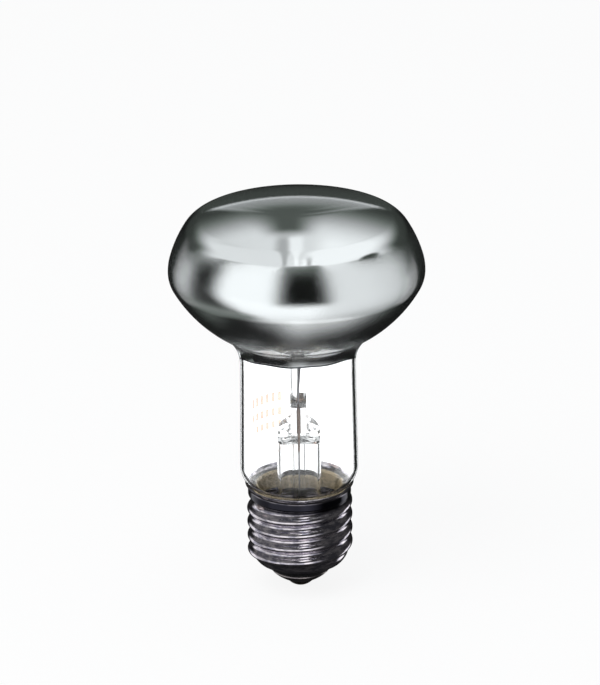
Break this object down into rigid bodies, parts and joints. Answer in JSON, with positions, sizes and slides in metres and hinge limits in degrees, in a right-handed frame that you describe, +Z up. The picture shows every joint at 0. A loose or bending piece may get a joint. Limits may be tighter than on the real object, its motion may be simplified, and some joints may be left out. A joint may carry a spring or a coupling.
{
  "type": "reflector bulb",
  "caption": "Mirrored reflector bulb with a wide domed head, a clear neck that shows the glass stem, and a rolled screw cap.",
  "frame": {"origin": "tip of the centre contact, on the axis of the cap", "axes": "+Z up the axis from the cap to the head, -Y the front of the picture, +X to its right"},
  "size_m": [0.063, 0.063, 0.1013],
  "materials": {
    "clear_glass": "clear, smooth",
    "stem_glass": "clear, smooth",
    "mirror_metal": "evaporated metal on the inside of the glass",
    "lead_wire": "drawn nickel wire",
    "copper_wire": "drawn copper-clad wire",
    "tungsten": "coiled tungsten wire",
    "plated_shell": "nickel plate on rolled sheet",
    "black_glass": "pressed black glass",
    "contact_metal": "plated sheet, darkened",
    "solder": "cast solder, dull",
    "cement": "set cement, grainy"
  },
  "bodies": {
    "root": {"envelope": "clear_glass", "reflector_coating": "mirror_metal", "stem_flare": "stem_glass", "exhaust_tube": "stem_glass", "support_rod": "stem_glass", "support_wire_1": "tungsten", "support_wire_2": "tungsten", "support_wire_3": "tungsten", "seal_wire_a": "lead_wire", "seal_wire_b": "lead_wire", "inner_lead_a": "lead_wire", "inner_lead_b": "lead_wire", "outer_lead_centre": "copper_wire", "outer_lead_side": "copper_wire", "filament": "tungsten", "cap_shell": "plated_shell", "cap_insulator": "black_glass", "centre_contact": "contact_metal", "centre_solder": "solder", "side_solder": "solder", "basing_cement": "cement"}
  },
  "joints": []
}
